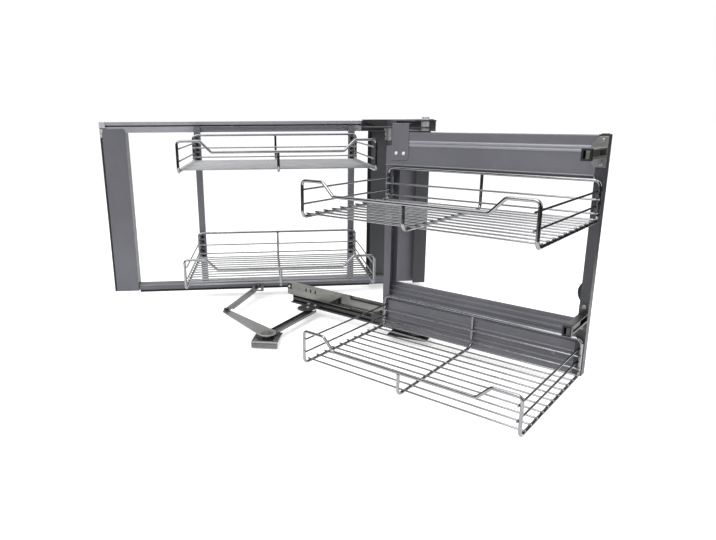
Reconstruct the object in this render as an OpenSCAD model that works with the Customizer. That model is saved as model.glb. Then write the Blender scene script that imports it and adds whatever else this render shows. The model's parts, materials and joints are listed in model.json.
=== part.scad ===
// Blind corner pull out: a fixed rear frame with a sliding basket carriage, and a front
// basket frame on a telescopic slide that swings out of the cabinet about a corner pivot.
// Lengths in millimetres, +Z up, +X along the rear frame, +Y towards the cabinet's back.
// The origin lies on the cabinet floor, at the middle of the rear frame's front face.

/* [Rear frame] */
// Width of the rear frame
frame_w = 968; // [900:1:1100]
// Height of the rear frame
frame_h = 509; // [470:1:560]
// Width of the left upright's face
upright_w = 70; // [50:1:90]
// Depth of the left upright
upright_d = 40; // [25:1:55]
// Width of the right column
column_w = 182; // [150:1:200]
// Depth of the right column
column_d = 60; // [45:1:75]
// Width of the column's left lip
column_lip_left = 55; // [30:1:60]
// Width of the column's right lip
column_lip_right = 40; // [25:1:45]
// Thickness of the frame's sheet steel
sheet_t = 2; // [1.5:0.1:3]
// Height of the top rail
rail_h = 30; // [28:1:36]
// Depth of the top rail
rail_d = 26; // [24:1:34]
// Height of the running groove in the top rail
groove_h = 4; // [3.5:0.5:6]
// Height of the bottom rail's tube
floor_rail_h = 22; // [18:1:24]
// Thickness of the glide strip under the bottom rail
glide_strip_t = 8; // [6:0.5:9]
// Height of the left upright's lower end above the floor
upright_lift = 10; // [8:1:14]
// Depth of the panel in the column behind its lips
panel_inset = 22; // [15:1:35]

/* [Rear carriage] */
// Place of the rear baskets' left hoop along the frame
rear_basket_x = -223; // [-240:1:-200]
// Width of a hanger
hanger_w = 18; // [16:1:24]
// Depth of a hanger
hanger_d = 14; // [10:1:18]
// Inset of each hanger from the end of the rear baskets
hanger_inset = 12; // [12:1:30]
// Height of the slots in a hanger
hanger_slot_h = 9; // [5:1:11]
// Drop of the upper rear basket's bottom wire below the frame's top
rear_upper_drop = 114; // [109:1:150]
// Height of the lower rear basket's bottom wire
rear_lower_z = 111; // [90:1:130]

/* [Baskets] */
// Length of a rear basket
rear_basket_l = 470; // [430:1:480]
// Depth of a rear basket
rear_basket_d = 321; // [280:1:323]
// Length of a front basket
front_basket_l = 465; // [420:1:480]
// Depth of a front basket
front_basket_d = 304; // [260:1:310]
// Height of a basket's back rail above its bottom wire
basket_back_h = 76; // [70:1:90]
// Height of a basket's raised front corners
basket_corner_h = 72; // [66:1:85]
// Height of the dip in a basket's front wire
basket_dip_h = 46; // [36:1:56]
// Length of the raised part of the front wire at each corner
basket_corner_l = 52; // [40:1:70]
// Length over which the front wire drops into its dip
basket_drop_l = 26; // [20:1:40]
// Diameter of the hoop wire
hoop_wire_d = 6.5; // [5:0.1:8]
// Diameter of the rails on the sides and the back
side_wire_d = 4; // [3:0.1:5]
// Diameter of the floor wires
floor_wire_d = 3.8; // [2:0.1:5]
// Number of floor wires in a rear basket
rear_floor_wires = 13; // [9:1:16]
// Number of floor wires in a front basket
front_floor_wires = 11; // [8:1:14]
// Centre-line radius of a hoop's bends
hoop_bend_r = 12; // [9:0.5:16]
// Centre-line radius of the front wire's bends
front_bend_r = 9; // [7:0.5:10]
// Height of the upper side rail
side_rail_upper_h = 55; // [50:1:60]
// Height of the lower side rail
side_rail_lower_h = 27; // [23:1:32]
// Height of the upper back wire
back_wire_upper_h = 41; // [37:1:46]
// Height of the lower back wire
back_wire_lower_h = 15; // [12:1:18]
// Gap between the upper front basket's back rail and the top beam
front_upper_gap = 6; // [5:0.5:20]
// Height of the lower front basket's bottom wire
front_lower_z = 15.5; // [15.5:0.5:20]

/* [Swing] */
// Place of the swing pivot along the frame
pivot_x = 340; // [330:1:360]
// Distance of the swing pivot in front of the rear frame
pivot_front = 457; // [440:1:475]
// Angle between the front frame and the rear frame in this pose
open_angle = 45.5; // [40:0.5:50]
// Diameter of the pivot pins
pivot_pin_d = 12; // [8:0.5:14]
// Thickness of the swing plate and the pivot plates
pivot_plate_t = 3; // [2.5:0.1:3.5]
// Width of the swing plate in front of the pivot line
swing_plate_front = 18; // [15:1:20]
// Width of the swing plate behind the pivot line
swing_plate_back = 14; // [12:1:16]
// Height of the riser between the swing plate and the slide
riser_h = 18; // [12:1:20]
// Length of the swing plate behind the pivot
swing_plate_l = 405; // [380:1:405]
// Length of the top arm behind the pivot
top_arm_l = 160; // [120:1:170]
// Distance of the guide roller behind the pivot
guide_roller_s = 90; // [85:1:95]
// Diameter of the guide roller
guide_roller_d = 29; // [24:0.5:29]
// Height of the guide roller
guide_roller_h = 27; // [20:1:28]

/* [Front frame] */
// Distance of the front frame's left end behind the pivot
front_back_reach = 91; // [80:1:100]
// Distance of the front frame's right end beyond its baskets
front_end_gap = 4; // [3.5:0.5:8]
// Depth of the front frame's beams
beam_d = 34; // [34:0.5:40]
// Drop of the top beam's upper edge below the frame's top
top_beam_drop = 24; // [23:0.5:26]
// Height of the top beam
top_beam_h = 75; // [65:1:80]
// Height of the bottom beam's lower edge
bottom_beam_z = 12; // [12:1:16]
// Height of the bottom beam
bottom_beam_h = 109; // [95:1:115]
// Height of the bottom beam's plain face below its steps
bottom_face_h = 68; // [60:1:75]
// Height of the beads on the beams
bead_h = 6; // [4:0.5:8]
// Depth of the beads on the beams
bead_d = 2; // [1:0.1:2.5]
// Width of the left post
left_post_w = 18; // [14:1:24]
// Width of the right post
right_post_w = 18; // [16:1:22]
// Depth of the right post
right_post_d = 20; // [16:1:30]
// Width of the hook tab
hook_w = 44; // [36:1:50]

/* [Telescopic slide] */
// Length of the slide's outer member
slide_outer_l = 224; // [204:1:230]
// Length of the slide's middle member
slide_middle_l = 220; // [200:1:230]
// Length of the slide's inner member
slide_inner_l = 310; // [280:1:330]
// Overlap of two neighbouring members when drawn out
slide_overlap = 64; // [54:1:80]
// Height of the slide's outer member
slide_h = 34; // [32:1:38]
// Thickness of the slide's sheet steel
slide_t = 2; // [1.6:0.1:2.4]
// Running gap between two members
slide_gap = 0.5; // [0.3:0.1:0.8]

/* [Door slides] */
// Length of a door slide
door_slide_l = 101; // [85:1:110]
// Height of a door slide
door_slide_h = 18; // [16:0.5:22]
// Width of a door slide's outer member
door_slide_w = 15; // [13:0.5:15.5]
// Drop of the upper door slide's middle below the frame's top
door_upper_drop = 54; // [53:1:58]
// Height of the lower door slide's middle
door_lower_z = 136; // [130:1:145]

/* [Floor linkage] */
// Place of the crank's pivot along the frame
crank_x = -27; // [-35:1:-20]
// Distance of the crank's pivot in front of the rear frame
crank_front = 437; // [430:1:445]
// Length of the tapered crank arm
crank_arm_l = 204; // [198:1:208]
// Direction of the tapered crank arm
crank_arm_angle = 122; // [120:0.5:124]
// Width of the crank arm at its pivot
crank_hub_w = 44; // [36:1:50]
// Width of the crank arm at its elbow
crank_tip_w = 20; // [16:1:24]
// Length of the channel arm
channel_arm_l = 212; // [190:1:215]
// Width of the channel arm
channel_arm_w = 24; // [18:1:26]
// Thickness of the link bar
link_t = 3; // [2.5:0.1:4]
// Width of the link bar
link_w = 16; // [12:1:20]
// Length of the link bar between its pins
link_l = 236; // [232:1:240]
// Diameter of the linkage pins
link_pin_d = 8; // [6:0.5:9]
// Width of the floor plate
floor_plate_w = 64; // [60:1:80]
// Depth of the floor plate
floor_plate_d = 67; // [66:1:80]
// Height of the floor plate's flap below the cabinet floor
floor_flap_h = 14; // [8:1:20]
// Turn of the floor plate about the crank's pivot
floor_plate_turn = -13; // [-20:1:0]

/* [Clearances] */
// Gap between bodies that move past each other
run_gap = 0.3; // [0.2:0.05:0.5]
// Radial clearance of a pin in its bore
pin_clear = 0.05; // [0.02:0.01:0.1]
// Gap at a weld between two wires
weld_gap = 0.02; // [0.01:0.01:0.05]

/* [Hidden] */

$fn = 48;
over = 1;

// Colours
paint = [0.45, 0.45, 0.48];
dark_paint = [0.30, 0.30, 0.32];
zinc = [0.56, 0.56, 0.52];
chrome = [0.80, 0.80, 0.82];
black = [0.08, 0.08, 0.09];
nylon = [0.66, 0.67, 0.68];

// Rear frame
frame_left = -frame_w / 2;
frame_right = frame_w / 2;
column_left = frame_right - column_w;
rail_bottom = frame_h - rail_h;
track_z = rail_bottom + 9;
track_h = frame_h - sheet_t - track_z;
groove_z = track_z + track_h / 2;
upright_top = rail_bottom + 11;
corner_r = 8;
cap_l = 4;
screw_head_d = 8;
screw_head_t = 2.5;
rail_screw_x = [-113, 163];

// Rear carriage
hanger_back = -rail_d - sheet_t - run_gap;
hanger_front = hanger_back - hanger_d;
rear_upper_z = frame_h - rear_upper_drop;
rear_back_y = hanger_front - run_gap - hoop_wire_d / 2;
hanger_x = [rear_basket_x + hanger_inset, rear_basket_x + rear_basket_l - hanger_inset];
cross_bar_h = 18;
cross_bar_z = 38;
glide_l = 30;
glide_back = -sheet_t - 4;
neck_h = groove_h - 1;
neck_w = 12;
lug_l = 40;
hanger_top = groove_z - groove_h / 2 - run_gap;
top_bar_h = 6;
top_bar_t = 4;
top_bar_gap = 3;
slot_count = 5;
slot_w = 8;
slot_pitch = 14;
shoe_x = [hanger_x[1], (hanger_x[0] + hanger_x[1]) / 2];
shoe_h = 6;

// Swing pivot and front frame, in the swing's own axes: x along the slide, y to its back
pivot_y = -pivot_front;
front_left = -front_back_reach;
beam_front = -beam_d / 2;
beam_back = beam_d / 2;
front_basket_x = front_left + 11;
front_right = front_basket_x + front_basket_l + front_end_gap;
front_basket_y = beam_front - bead_d - run_gap - hoop_wire_d / 2;
top_beam_top = frame_h - top_beam_drop;
top_beam_z = top_beam_top - top_beam_h;
front_upper_z = top_beam_z - front_upper_gap - basket_back_h;
trough_z = top_beam_top - 33;
top_bead_z = [trough_z + 1.5, trough_z + 8.5];
lip_d = bead_d;
lip_h = 4;
hook_x = front_left + 16;
hook_low = top_beam_z + 13;
hook_top = frame_h - 4;
hook_lip = 14;
hook_screw_inset = 12;
hook_screw_up = 15;
hook_corner_r = 8;
face_screw_left = 110;
face_screw_right = 40;
face_screw_up = 37;

// Stack of plates at the swing pivot
base_t = 3;
boss_t = 3;
swing_z = base_t + boss_t;
riser_z = swing_z + pivot_plate_t;
slide_z = riser_z + riser_h;
riser_front = -9;
riser_back = 0;
riser_end = 285;
arm_z = top_beam_top + 9;
bracket_z = frame_h;
bracket_w = 48;
bracket_flare_y = -150;
bracket_left_reach = 30;
flange_h = 23;
flange_toe_h = 5;
flange_inset = 0.5;
flange_left_y = -270;
base_turn = -33;
base_left = -65;
base_right = 34;
base_w = 70;
boss_d = 30;
bolt_head_d = 16;
bolt_head_h = 7;
bolt_collar_h = 5;
bolt_collar_d = 18;
roller_z = arm_z - run_gap - guide_roller_h;
axle_d = 8;
roller_ring_z = [6, 17];
roller_ring_h = 4;
roller_ring_d = 1.5;
pin_head_h = 2;
pin_head_rim = 8;

// Telescopic slide sections
outer_front = -11;
outer_d = 13;
middle_front = outer_front + slide_t + 2;
middle_back = 8;
middle_web = -2;
inner_front = middle_web + slide_t + slide_gap;
inner_back = beam_back - sheet_t;
slide_outer_x = -swing_plate_l - 19;
slide_cap_l = 16;
slide_cap_h = 16;
slide_cut_top = 202;
slide_cut_low = 150;
cage_h = 5;
cage_t = 1.5;
cage_inset = 6;
slide_middle_x = slide_outer_x + slide_outer_l - slide_overlap;
slide_inner_x = slide_middle_x + slide_middle_l - slide_overlap;

// Door slides
door_upper_z = frame_h - door_upper_drop;
door_left = front_right - door_slide_w;
door_y = beam_front - door_slide_l;
door_cap_l = 12;
door_cap_lip = 1.5;
door_plate_h = 56;
door_screw_inset = 7;
door_lip_h = 3;
runner_back = 40;
runner_inset = 4;
bumper_r = 28;
bumper_out = 7;
bumper_t = 6;
bumper_z = 186;

// Floor linkage heights and places
crank_y = -crank_front;
channel_z = base_t + 2;
channel_h = 6.5;
arm1_z = channel_z + channel_h + run_gap;
arm1_t = 3;
link_z = arm1_z + arm1_t + run_gap;
slot_plate_z = link_z + link_t + run_gap + 1;
slot_plate_t = 3;
slot_plate_l = 62;
slot_clear = 5;
elbow_x = crank_x + crank_arm_l * cos(crank_arm_angle);
elbow_y = crank_y + crank_arm_l * sin(crank_arm_angle);
link_angle = 69.3;
link_end_x = elbow_x + link_l * cos(link_angle);
channel_angle = 53.8;
tongue_z = channel_z + channel_h + 0.5;
tongue_x = -322;
tongue_reach = 70;
tongue_w = 48;
tongue_t = 2.5;
rivet_d = 7;
rivet_h = 2;
link_head_h = 1.5;
link_head_rim = 2;

// Moves its children into the swing's own axes.
module in_swing() {
    translate([pivot_x, pivot_y, 0])
        rotate(-open_angle)
            children();
}

// A box given by its two opposite corners.
module block(low, high) {
    translate(low)
        cube(high - low);
}

// A profile in the Y-Z plane, drawn out along X.
module along_x(from, to) {
    translate([from, 0, 0])
        rotate([90, 0, 90])
            linear_extrude(to - from)
                children();
}

// A round wire between two points on one axis line.
module wire_x(from, to, y, z, d) {
    translate([from, y, z])
        rotate([0, 90, 0])
            cylinder(h = to - from, d = d);
}

module wire_y(from, to, x, z, d) {
    translate([x, from, z])
        rotate([-90, 0, 0])
            cylinder(h = to - from, d = d);
}

// Wire bending: a flat path of points with rounded bends
function heading(a, b) = atan2(b[1] - a[1], b[0] - a[0]);
function turn(p, i) =
    let (a = p[i] - p[i - 1], b = p[i + 1] - p[i])
    atan2(a[0] * b[1] - a[1] * b[0], a[0] * b[0] + a[1] * b[1]);
function setback(p, i, r) =
    i <= 0 || i >= len(p) - 1 ? 0 : r * tan(abs(turn(p, i)) / 2);

module bent_wire(p, r, d) {
    last = len(p) - 2;
    for (i = [0 : last]) {
        h = heading(p[i], p[i + 1]);
        start = setback(p, i, r) - (i > 0 ? bend_lap : 0);
        stop = setback(p, i + 1, r) - (i < last ? bend_lap : 0);
        translate([p[i][0] + start * cos(h), p[i][1] + start * sin(h), 0])
            rotate(h)
                rotate([0, 90, 0])
                    cylinder(h = norm(p[i + 1] - p[i]) - start - stop, d = d - 2 * weld_gap);
    }
    for (i = [1 : len(p) - 2]) {
        h = heading(p[i - 1], p[i]);
        t = turn(p, i);
        side = t > 0 ? 1 : -1;
        back = setback(p, i, r);
        translate([p[i][0] - back * cos(h) - side * r * sin(h),
                   p[i][1] - back * sin(h) + side * r * cos(h), 0])
            rotate(t > 0 ? h - 90 : h + 90 + t)
                rotate_extrude(angle = abs(t))
                    translate([r, 0])
                        circle(d = d);
    }
}

// Baskets, from the left back corner of their hoop wires
corner_join = basket_corner_h - front_bend_r - 4;
back_join = basket_back_h - hoop_bend_r - 4;
bend_lap = 0.3;

module basket_hoops(l, d) {
    for (x = [0, l / 2, l]) {
        end_hoop = x == 0 || x == l;
        front_h = end_hoop ? corner_join : basket_dip_h - hoop_wire_d / 2 - weld_gap;
        back_h = end_hoop ? back_join : basket_back_h - hoop_wire_d / 2 - weld_gap;
        translate([x, 0, 0])
            rotate([90, 0, 90])
                bent_wire([[-d, front_h], [-d, 0], [0, 0], [0, back_h]], hoop_bend_r, hoop_wire_d);
    }
}

module basket_rims(l, d) {
    dip = basket_corner_l + basket_drop_l;
    translate([0, -d, 0])
        rotate([90, 0, 0])
            bent_wire([[0, corner_join], [0, basket_corner_h], [basket_corner_l, basket_corner_h],
                       [dip, basket_dip_h], [l - dip, basket_dip_h],
                       [l - basket_corner_l, basket_corner_h], [l, basket_corner_h],
                       [l, corner_join]], front_bend_r, hoop_wire_d);
    rotate([90, 0, 0])
        bent_wire([[0, back_join], [0, basket_back_h], [l, basket_back_h], [l, back_join]],
                  hoop_bend_r, hoop_wire_d);
}

module basket_wires(l, d, floor_wires) {
    lap = (hoop_wire_d + side_wire_d) / 2 + weld_gap;
    reach = hoop_wire_d / 2;
    floor_z = (hoop_wire_d + floor_wire_d) / 2 + weld_gap;
    floor_first = -d + hoop_bend_r + 4;
    floor_step = (d - 2 * (hoop_bend_r + 4)) / (floor_wires - 1);
    for (h = [side_rail_upper_h, side_rail_lower_h])
        for (x = [lap, l - lap])
            wire_y(-d - reach, reach, x, h, side_wire_d);
    for (h = [back_wire_upper_h, back_wire_lower_h])
        wire_x(-reach, l + reach, -lap, h, side_wire_d);
    for (i = [0 : floor_wires - 1])
        wire_x(-reach, l + reach, floor_first + i * floor_step, floor_z, floor_wire_d);
}

module at_rear_upper() {
    color(chrome)
        translate([rear_basket_x, rear_back_y, rear_upper_z])
            children();
}

module at_rear_lower() {
    color(chrome)
        translate([rear_basket_x, rear_back_y, rear_lower_z])
            children();
}

module at_front_upper() {
    color(chrome)
        in_swing()
            translate([front_basket_x, front_basket_y, front_upper_z])
                children();
}

module at_front_lower() {
    color(chrome)
        in_swing()
            translate([front_basket_x, front_basket_y, front_lower_z])
                children();
}

module rear_upper_hoops() { at_rear_upper() basket_hoops(rear_basket_l, rear_basket_d); }
module rear_upper_rims() { at_rear_upper() basket_rims(rear_basket_l, rear_basket_d); }
module rear_upper_wires() {
    at_rear_upper()
        basket_wires(rear_basket_l, rear_basket_d, rear_floor_wires);
}
module rear_lower_hoops() { at_rear_lower() basket_hoops(rear_basket_l, rear_basket_d); }
module rear_lower_rims() { at_rear_lower() basket_rims(rear_basket_l, rear_basket_d); }
module rear_lower_wires() {
    at_rear_lower()
        basket_wires(rear_basket_l, rear_basket_d, rear_floor_wires);
}
module front_upper_hoops() { at_front_upper() basket_hoops(front_basket_l, front_basket_d); }
module front_upper_rims() { at_front_upper() basket_rims(front_basket_l, front_basket_d); }
module front_upper_wires() {
    at_front_upper()
        basket_wires(front_basket_l, front_basket_d, front_floor_wires);
}
module front_lower_hoops() { at_front_lower() basket_hoops(front_basket_l, front_basket_d); }
module front_lower_rims() { at_front_lower() basket_rims(front_basket_l, front_basket_d); }
module front_lower_wires() {
    at_front_lower()
        basket_wires(front_basket_l, front_basket_d, front_floor_wires);
}

// Rear frame
wall_hole_d = 6.5;
wall_hole_z = [80, frame_h - 79];
wall_hole_inset = 22;

module left_upright() {
    face = -rail_d - sheet_t;
    right = frame_left + upright_w;
    color(paint)
        difference() {
            union() {
                block([frame_left, face, upright_lift], [right, -rail_d, upright_top - corner_r]);
                block([frame_left, face, upright_lift], [right - corner_r, -rail_d, upright_top]);
                translate([right - corner_r, -rail_d, upright_top - corner_r])
                    rotate([90, 0, 0])
                        cylinder(h = sheet_t, r = corner_r);
                for (x = [frame_left, right - sheet_t])
                    block([x, face, upright_lift], [x + sheet_t, face + upright_d, rail_bottom]);
            }
            for (z = wall_hole_z)
                translate([frame_left - over, face + wall_hole_inset, z])
                    rotate([0, 90, 0])
                        cylinder(h = sheet_t + 2 * over, d = wall_hole_d);
        }
}

module right_column() {
    color(dark_paint)
        difference() {
            linear_extrude(frame_h) {
                translate([column_left, column_d - sheet_t])
                    square([column_w, sheet_t]);
                translate([column_left, 0])
                    square([sheet_t, column_d]);
                translate([frame_right - sheet_t, 0])
                    square([sheet_t, column_d]);
                translate([column_left, 0])
                    square([column_lip_left, sheet_t]);
                translate([frame_right - column_lip_right, 0])
                    square([column_lip_right, sheet_t]);
            }
            for (z = wall_hole_z)
                translate([frame_right - sheet_t - over, panel_inset / 2, z])
                    rotate([0, 90, 0])
                        cylinder(h = sheet_t + 2 * over, d = wall_hole_d);
        }
}

module column_panel() {
    color(paint)
        block([column_left + sheet_t, panel_inset, 0],
              [frame_right - sheet_t, panel_inset + sheet_t, frame_h]);
}

module top_rail() {
    color(paint)
        along_x(frame_left + cap_l, frame_right) {
            translate([-rail_d, frame_h - sheet_t])
                square([rail_d, sheet_t]);
            translate([-sheet_t, rail_bottom])
                square([sheet_t, rail_h]);
            translate([-rail_d, groove_z + groove_h / 2])
                square([sheet_t, frame_h - groove_z - groove_h / 2]);
            translate([-rail_d, rail_bottom])
                square([sheet_t, groove_z - groove_h / 2 - rail_bottom]);
            translate([-rail_d, track_z - sheet_t])
                square([rail_d, sheet_t]);
        }
}

module rail_end_cap() {
    color(black)
        block([frame_left, -rail_d, rail_bottom], [frame_left + cap_l, 0, frame_h]);
}

module rail_screws() {
    color(chrome)
        for (x = rail_screw_x)
            translate([x, -sheet_t, groove_z])
                rotate([90, 0, 0])
                    cylinder(h = screw_head_t, d = screw_head_d);
}

module bottom_rail() {
    r = floor_rail_h / 2;
    color(paint)
        along_x(frame_left + upright_w, column_left + column_lip_left) {
            translate([-r, glide_strip_t + r])
                circle(r = r);
            translate([-r, glide_strip_t])
                square([r, floor_rail_h]);
        }
}

glide_strip_front = 8;
glide_strip_back = 4;

module bottom_glide() {
    color(black)
        block([frame_left + upright_w, -glide_strip_front, 0],
              [column_left - run_gap, glide_strip_back, glide_strip_t]);
}

// Swing supports on the cabinet
module top_bracket() {
    left = pivot_x - bracket_w / 2;
    corner = column_left - bracket_left_reach;
    slant = [corner - left, -rail_d - bracket_flare_y];
    slant_l = norm(slant) - sheet_t;
    top = bracket_z + over;
    color(dark_paint)
        difference() {
            union() {
                translate([0, 0, bracket_z])
                    linear_extrude(pivot_plate_t) {
                        translate([pivot_x, pivot_y])
                            circle(d = bracket_w);
                        translate([left, pivot_y])
                            square([bracket_w, bracket_flare_y - pivot_y]);
                        polygon([[left, bracket_flare_y],
                                 [pivot_x + bracket_w / 2, bracket_flare_y],
                                 [frame_right, -rail_d], [frame_right, 0],
                                 [corner, 0], [corner, -rail_d]]);
                    }
                block([pivot_x + bracket_w / 2 - sheet_t, pivot_y, top - flange_h],
                      [pivot_x + bracket_w / 2, -rail_d - run_gap, top]);
                block([left + flange_inset, flange_left_y, top - flange_h],
                      [left + flange_inset + sheet_t, bracket_flare_y + sheet_t, top]);
                translate([left, bracket_flare_y, 0])
                    rotate(atan2(slant[1], slant[0]))
                        translate([0, -flange_inset, 0])
                            rotate([90, 0, 0])
                                linear_extrude(sheet_t)
                                    polygon([[-sheet_t, top - flange_h], [-sheet_t, top],
                                             [slant_l, top], [slant_l, top - flange_toe_h]]);
            }
            translate([pivot_x, pivot_y, bracket_z - over])
                cylinder(h = pivot_plate_t + 2 * over, d = pivot_pin_d + 2 * pin_clear);
        }
}

module top_pivot_bolt() {
    color(chrome)
        translate([pivot_x, pivot_y, 0]) {
            translate([0, 0, arm_z - run_gap - bolt_collar_h])
                cylinder(h = bracket_z + pivot_plate_t - arm_z + run_gap + bolt_collar_h + over,
                         d = pivot_pin_d);
            translate([0, 0, bracket_z + pivot_plate_t])
                cylinder(h = bolt_head_h, d = bolt_head_d);
            translate([0, 0, arm_z - run_gap - bolt_collar_h])
                cylinder(h = bolt_collar_h, d = bolt_collar_d);
            translate([0, 0, arm_z + pivot_plate_t + run_gap])
                cylinder(h = bracket_z - arm_z - pivot_plate_t - run_gap, d = bolt_collar_d);
        }
}

base_hole_d = 6;
base_hole_at = 28;

module floor_base() {
    color(black)
        translate([pivot_x, pivot_y, 0])
            rotate(base_turn)
                difference() {
                    union() {
                        block([base_left, -base_w / 2, 0], [base_right, base_w / 2, base_t]);
                        cylinder(h = swing_z - run_gap, d = boss_d);
                    }
                    translate([0, 0, -over])
                        cylinder(h = swing_z + over, d = pivot_pin_d);
                    for (x = [-base_hole_at, base_hole_at])
                        for (y = [-base_hole_at, base_hole_at])
                            translate([x, y, -over])
                                cylinder(h = base_t + 2 * over, d = base_hole_d);
                }
}

module floor_pivot_pin() {
    color(zinc)
        translate([pivot_x, pivot_y, 0]) {
            cylinder(h = riser_z + run_gap + over, d = pivot_pin_d);
            translate([0, 0, riser_z + run_gap])
                cylinder(h = pin_head_h, d = pivot_pin_d + pin_head_rim);
        }
}

plate_hole_at = 23;
plate_front = 33;
fold_r = 6;
hub_ring_d = [30, 20, 11];
hub_ring_h = 1.5;

module crank_plate() {
    w = floor_plate_w;
    color(dark_paint)
        translate([crank_x, crank_y, 0])
            rotate(floor_plate_turn)
                difference() {
                    union() {
                        block([-w / 2, -plate_front + fold_r, 0],
                              [w / 2, floor_plate_d - plate_front, base_t]);
                        translate([-w / 2, -plate_front + fold_r, base_t - fold_r])
                            rotate([0, 90, 0])
                                rotate(180)
                                    rotate_extrude(angle = 90)
                                        translate([fold_r - base_t, 0])
                                            square([base_t, w]);
                        block([-w / 2, -plate_front, -floor_flap_h],
                              [w / 2, -plate_front + base_t, base_t - fold_r]);
                    }
                    for (x = [-plate_hole_at, plate_hole_at])
                        for (y = [-plate_hole_at, plate_hole_at])
                            translate([x, y, -over])
                                cylinder(h = base_t + 2 * over, d = base_hole_d);
                }
}

module crank_pin() {
    head_z = arm1_z + arm1_t + run_gap;
    color(zinc)
        translate([crank_x, crank_y, 0]) {
            translate([0, 0, base_t])
                cylinder(h = channel_z - base_t - run_gap, d = hub_ring_d[1]);
            translate([0, 0, base_t])
                cylinder(h = head_z - base_t + over, d = link_pin_d);
            for (i = [0 : len(hub_ring_d) - 1])
                translate([0, 0, head_z])
                    cylinder(h = (i + 1) * hub_ring_h, d = hub_ring_d[i]);
        }
}

// Rear carriage
module hangers() {
    low = cross_bar_z;
    color(paint)
        for (x = hanger_x)
            difference() {
                block([x - hanger_w / 2, hanger_front, low], [x + hanger_w / 2, hanger_back, hanger_top]);
                block([x - hanger_w / 2 + sheet_t, hanger_front + sheet_t, low - over],
                      [x + hanger_w / 2 - sheet_t, hanger_back - sheet_t, hanger_top + over]);
                for (z = [rear_upper_z, rear_lower_z])
                    for (i = [0 : slot_count - 1])
                        translate([x, 0, z + 8 + i * slot_pitch])
                            block([-slot_w / 2, hanger_front - over, -hanger_slot_h / 2],
                                  [slot_w / 2, hanger_front + sheet_t + over, hanger_slot_h / 2]);
            }
}

module hanger_glides() {
    lug_w = hanger_w - 2 * sheet_t - 2 * weld_gap;
    lug_front = hanger_front + sheet_t + weld_gap;
    neck_top = groove_z + neck_h / 2;
    color(black)
        for (x = hanger_x) {
            block([x - glide_l / 2, -rail_d + sheet_t + 2, track_z + run_gap],
                  [x + glide_l / 2, glide_back, frame_h - sheet_t - run_gap]);
            block([x - neck_w / 2, lug_front, neck_top - neck_h],
                  [x + neck_w / 2, glide_back - over, neck_top]);
            block([x - lug_w / 2, lug_front, neck_top - lug_l],
                  [x + lug_w / 2, hanger_back - sheet_t - weld_gap, neck_top]);
        }
}

module top_bar() {
    back = hanger_back - top_bar_gap;
    side = hanger_w / 2 + weld_gap;
    color(paint)
        block([hanger_x[0] + side, back - top_bar_t, hanger_top - top_bar_h],
              [hanger_x[1] - side, back, hanger_top]);
}

module cross_bar() {
    slot_w_all = link_pin_d + 2 * slot_clear;
    color(paint)
        difference() {
            union() {
                block([hanger_x[0] - hanger_w / 2, hanger_front, cross_bar_z - cross_bar_h],
                      [hanger_x[1] + hanger_w / 2, hanger_back, cross_bar_z]);
                block([link_end_x - slot_w_all / 2 - 8, hanger_front - slot_plate_l, slot_plate_z],
                      [link_end_x + slot_w_all / 2 + 8, hanger_back, slot_plate_z + slot_plate_t]);
            }
            block([hanger_x[0] - hanger_w / 2 - over, hanger_front + sheet_t,
                   cross_bar_z - cross_bar_h - over],
                  [hanger_x[1] + hanger_w / 2 + over, hanger_back - sheet_t, cross_bar_z - sheet_t]);
            block([link_end_x - slot_w_all / 2, hanger_front - slot_plate_l + 6, slot_plate_z - over],
                  [link_end_x + slot_w_all / 2, hanger_back - sheet_t - over,
                   slot_plate_z + slot_plate_t + 4]);
        }
}

module guide_shoes() {
    low = cross_bar_z - cross_bar_h;
    color(nylon)
        for (x = shoe_x)
            block([x - glide_l / 2, hanger_back, low],
                  [x + glide_l / 2, -floor_rail_h - run_gap, low + shoe_h]);
}

// Swing carrier
module swing_plate() {
    color(dark_paint)
        in_swing()
            translate([0, 0, swing_z])
                difference() {
                    union() {
                        linear_extrude(pivot_plate_t) {
                            translate([-swing_plate_l, -swing_plate_front])
                                square([swing_plate_l, swing_plate_front + swing_plate_back]);
                            circle(d = bracket_w);
                        }
                        block([-swing_plate_l, riser_front, pivot_plate_t - over],
                              [-swing_plate_l + riser_end, riser_back, pivot_plate_t + riser_h]);
                    }
                    translate([0, 0, -over])
                        cylinder(h = pivot_plate_t + 2 * over, d = pivot_pin_d + 2 * pin_clear);
                }
}

slide_slot_x = [68, 85, 102];
slide_slot_w = 5;
slide_slot_h = 9;
slide_slot_up = 19;
slide_hole_x = 159;
slide_hole_up = 11;
slide_hole_d = 7;

module slide_outer() {
    top = slide_z + slide_h;
    color(zinc)
        in_swing()
            translate([slide_outer_x, 0, 0])
                difference() {
                    along_x(0, slide_outer_l) {
                        translate([outer_front, slide_z])
                            square([slide_t, slide_h]);
                        translate([outer_front, slide_z])
                            square([outer_d, slide_t]);
                        translate([outer_front, top - slide_t])
                            square([outer_d, slide_t]);
                    }
                    for (x = slide_slot_x)
                        translate([x, outer_front, slide_z + slide_slot_up])
                            block([0, -over, 0], [slide_slot_w, slide_t + over, slide_slot_h]);
                    block([-over, outer_front - over, top - slide_t - slide_cap_h],
                          [slide_cap_l, outer_front + slide_t + over, top - slide_t]);
                    translate([0, outer_front + slide_t + over / 2, 0])
                        rotate([90, 0, 0])
                            linear_extrude(slide_t + over)
                                polygon([[slide_cut_top, top - slide_t], [slide_cut_low, slide_z + slide_t],
                                         [slide_outer_l + over, slide_z + slide_t],
                                         [slide_outer_l + over, top - slide_t]]);
                }
}

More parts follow.
